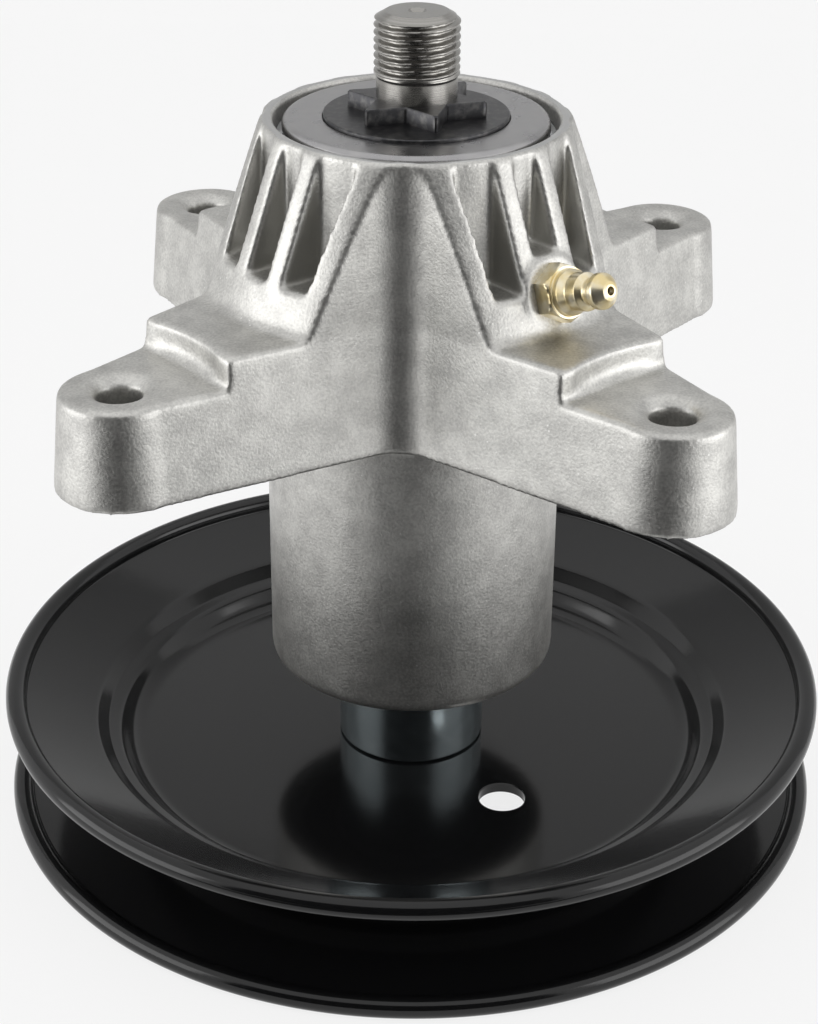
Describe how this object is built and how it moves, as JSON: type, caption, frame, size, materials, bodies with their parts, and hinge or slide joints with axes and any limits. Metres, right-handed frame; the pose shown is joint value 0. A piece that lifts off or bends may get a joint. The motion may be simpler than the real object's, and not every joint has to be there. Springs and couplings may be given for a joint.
{
  "type": "mower deck blade spindle assembly",
  "caption": "Ball-bearing spindle with a ribbed cast housing, four bolt ears, a threaded blade end with a star drive, and a pressed V-belt pulley.",
  "frame": {"origin": "on the spindle axis, in the plane of the pulley's lower rim", "axes": "+Z along the spindle towards the blade end; the four ears lie on the diagonals between X and Y, and the grease fitting between +X and -Y"},
  "size_m": [0.168, 0.168, 0.1627],
  "materials": {
    "cast_housing": "blasted die-cast aluminium, satin light grey",
    "shaft_steel": "turned and rolled steel, bright thread and darker collar",
    "cap_steel": "pressed steel, satin",
    "spacer_zinc": "turned steel, bright zinc",
    "pulley_paint": "pressed steel, gloss black",
    "nut_zinc": "zinc plated steel",
    "bearing_steel": "ground bearing steel",
    "cage_brass": "pressed cage, satin",
    "seal_rubber": "moulded black seal",
    "fitting_zinc": "yellow zinc plated steel, polished",
    "spring_steel": "drawn spring wire"
  },
  "bodies": {
    "housing": {"spindle_housing": "cast_housing", "blade_bearing_outer_ring": "bearing_steel", "blade_bearing_outer_seal": "seal_rubber", "blade_bearing_inner_seal": "seal_rubber", "pulley_bearing_outer_ring": "bearing_steel", "pulley_bearing_outer_seal": "seal_rubber", "pulley_bearing_inner_seal": "seal_rubber", "grease_fitting": "fitting_zinc", "grease_check_spring": "spring_steel"},
    "rotor": {"spindle_shaft": "shaft_steel", "blade_bearing_inner_ring": "bearing_steel", "pulley_bearing_inner_ring": "bearing_steel", "inner_spacer_tube": "spacer_zinc", "dust_cap": "cap_steel", "pulley_spacer": "spacer_zinc", "pulley_upper_half": "pulley_paint", "pulley_lower_half": "pulley_paint", "pulley_nut": "nut_zinc"},
    "blade_bearing_train": {"blade_bearing_cage": "cage_brass", "blade_bearing_balls": "bearing_steel"},
    "pulley_bearing_train": {"pulley_bearing_cage": "cage_brass", "pulley_bearing_balls": "bearing_steel"},
    "check_ball": {"grease_check_ball": "bearing_steel"}
  },
  "joints": [
    {"name": "spindle_spin", "type": "hinge", "parent": "housing", "child": "rotor", "pos_m": [0, 0, 0.0888], "axis": [0, 0, 1], "continuous": true},
    {"name": "blade_bearing_roll", "type": "hinge", "parent": "housing", "child": "blade_bearing_train", "pos_m": [0, 0, 0.1327], "axis": [0, 0, 1], "continuous": true},
    {"name": "pulley_bearing_roll", "type": "hinge", "parent": "housing", "child": "pulley_bearing_train", "pos_m": [0, 0, 0.0409], "axis": [0, 0, 1], "continuous": true},
    {"name": "check_ball_slide", "type": "slide", "parent": "housing", "child": "check_ball", "axis": [-0.6706, 0.6706, -0.3172], "range_m": [0, 0.001], "stiffness_N_per_m": 100, "springref_m": -0.001, "deforming": ["grease_check_spring"]}
  ],
  "couplings": [
    {"joint": "blade_bearing_roll", "follows": "spindle_spin", "ratio": 0.3969},
    {"joint": "pulley_bearing_roll", "follows": "spindle_spin", "ratio": 0.3969}
  ]
}
